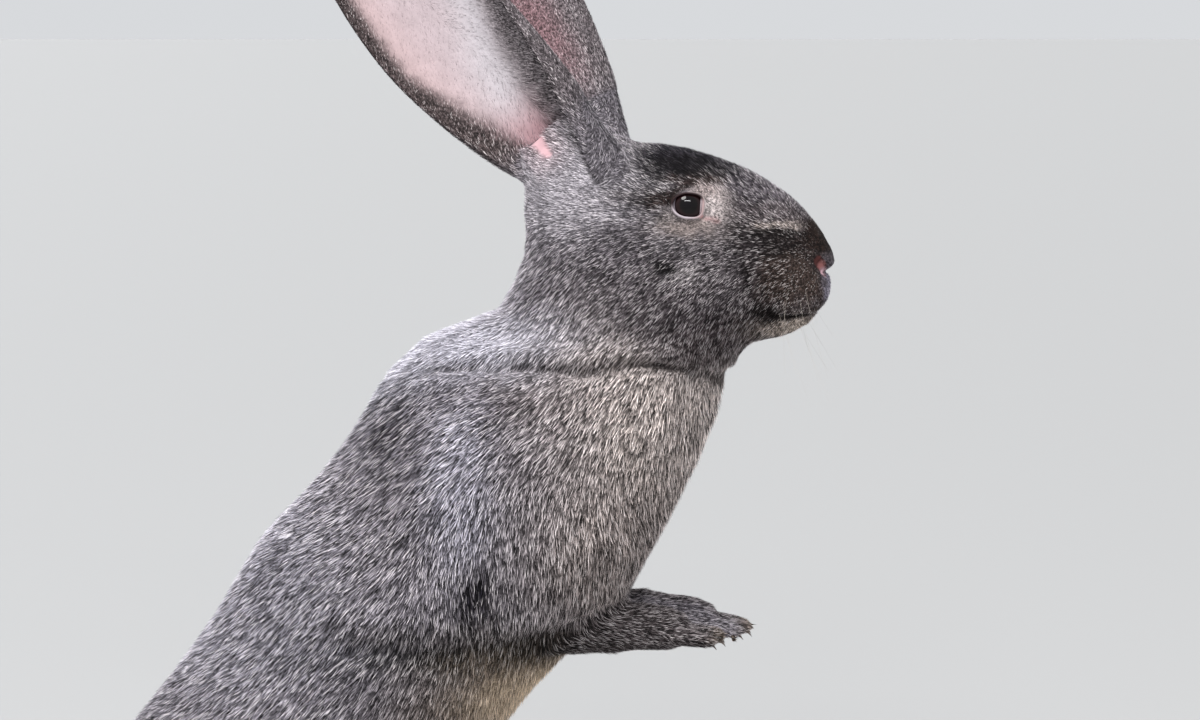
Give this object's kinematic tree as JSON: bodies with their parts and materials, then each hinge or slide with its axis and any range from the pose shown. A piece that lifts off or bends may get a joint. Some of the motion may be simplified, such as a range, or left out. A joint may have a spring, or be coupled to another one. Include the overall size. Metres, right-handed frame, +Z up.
{
  "type": "giant domestic rabbit figure",
  "caption": "Life-size grey giant rabbit sitting up on its haunches with its forepaws lifted in front, ears raised and head turned slightly aside.",
  "frame": {"origin": "on the floor, under the middle of the rabbit's bounding box", "axes": "+X forward along the rabbit, +Y to its left, +Z up"},
  "size_m": [0.4302, 0.1848, 0.5871],
  "materials": {
    "coat": "grey ticked fur, short and close",
    "ear": "short grey fur on the back, pale pink skin with fine hairs in the gutter",
    "eye": "wet, dark brown",
    "claw": "dark horn"
  },
  "bodies": {
    "root": {"trunk": "coat", "neck": "coat", "head": "coat", "upper_arm_right": "coat", "upper_arm_left": "coat", "forearm_right": "coat", "forearm_left": "coat", "forepaw_right": "coat", "forepaw_left": "coat", "haunch_right": "coat", "haunch_left": "coat", "hind_foot_right": "coat", "hind_foot_left": "coat", "tail": "coat", "ear_right": "ear", "ear_left": "ear", "eye_right": "eye", "eye_left": "eye"}
  },
  "joints": []
}
